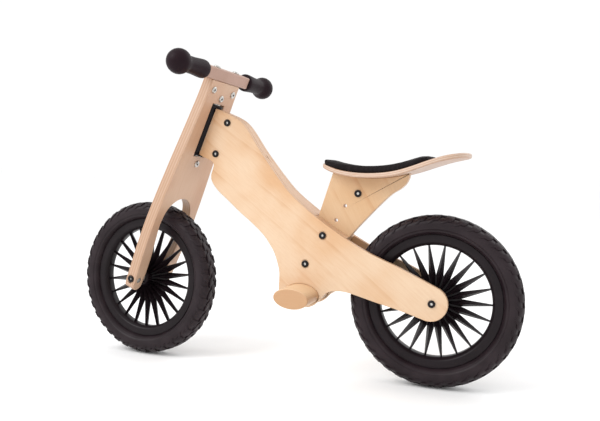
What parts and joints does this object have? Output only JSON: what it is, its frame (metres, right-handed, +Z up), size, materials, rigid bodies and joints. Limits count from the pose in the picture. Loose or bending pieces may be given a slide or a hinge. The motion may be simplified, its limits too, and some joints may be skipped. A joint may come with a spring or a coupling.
{
  "type": "balance bike",
  "caption": "Child's wooden balance bike: plywood plates, panel fork that steers, free-rolling wheels, padded seat on a height-adjustable post, and a footrest bar.",
  "frame": {"origin": "on the floor, midway between the two axles, in the plane of the frame", "axes": "+X forward, +Y to the rider's left, +Z up"},
  "size_m": [0.8656, 0.3386, 0.5705],
  "materials": {
    "plywood": "clear satin varnish",
    "solid_wood": "clear satin varnish",
    "black_hardware": "black oxide",
    "bright_hardware": "zinc plated",
    "moulded_plastic": "satin",
    "bush_plastic": "satin",
    "grip_rubber": "matte",
    "tyre_foam": "matte, moulded tread",
    "pad_fabric": "matte woven cover on foam"
  },
  "bodies": {
    "frame": {"plate_left": "plywood", "plate_right": "plywood", "frame_core": "plywood", "cheek_left": "plywood", "cheek_right": "plywood", "pivot_block": "moulded_plastic", "head_bolts": "black_hardware", "head_nuts": "black_hardware", "seat_post": "plywood", "seat_bolts": "black_hardware", "seat_nuts": "black_hardware", "seat_dowel": "black_hardware", "seat_screw": "bright_hardware", "seat_board": "plywood", "seat_pad": "pad_fabric", "footrest": "solid_wood", "rear_axle": "black_hardware", "rear_axle_nut": "black_hardware", "rear_washers": "bright_hardware"},
    "rear_wheel": {"rear_rim": "moulded_plastic", "rear_tyre": "tyre_foam", "rear_bushes": "bush_plastic"},
    "fork": {"fork_panel": "plywood", "pivot_rod": "bright_hardware", "pivot_washers": "bright_hardware", "panel_dowels": "bright_hardware", "handlebar": "solid_wood", "handlebar_bolts": "bright_hardware", "grip_left": "grip_rubber", "grip_right": "grip_rubber", "front_axle": "black_hardware", "front_axle_nut": "black_hardware", "front_spacers": "bright_hardware", "leg_dowels": "bright_hardware"},
    "front_wheel": {"front_rim": "moulded_plastic", "front_tyre": "tyre_foam", "front_bushes": "bush_plastic"}
  },
  "joints": [
    {"name": "steering", "type": "hinge", "parent": "frame", "child": "fork", "pos_m": [0.283, 0, 0.15], "axis": [-0.3697, 0, 0.9291], "range_deg": [-13.7, 26.3]},
    {"name": "front_wheel_spin", "type": "hinge", "parent": "fork", "child": "front_wheel", "pos_m": [0.283, 0, 0.15], "axis": [0.102, 0.994, 0.0406], "continuous": true},
    {"name": "rear_wheel_spin", "type": "hinge", "parent": "frame", "child": "rear_wheel", "pos_m": [-0.283, 0, 0.15], "axis": [0, 1, 0], "continuous": true}
  ]
}
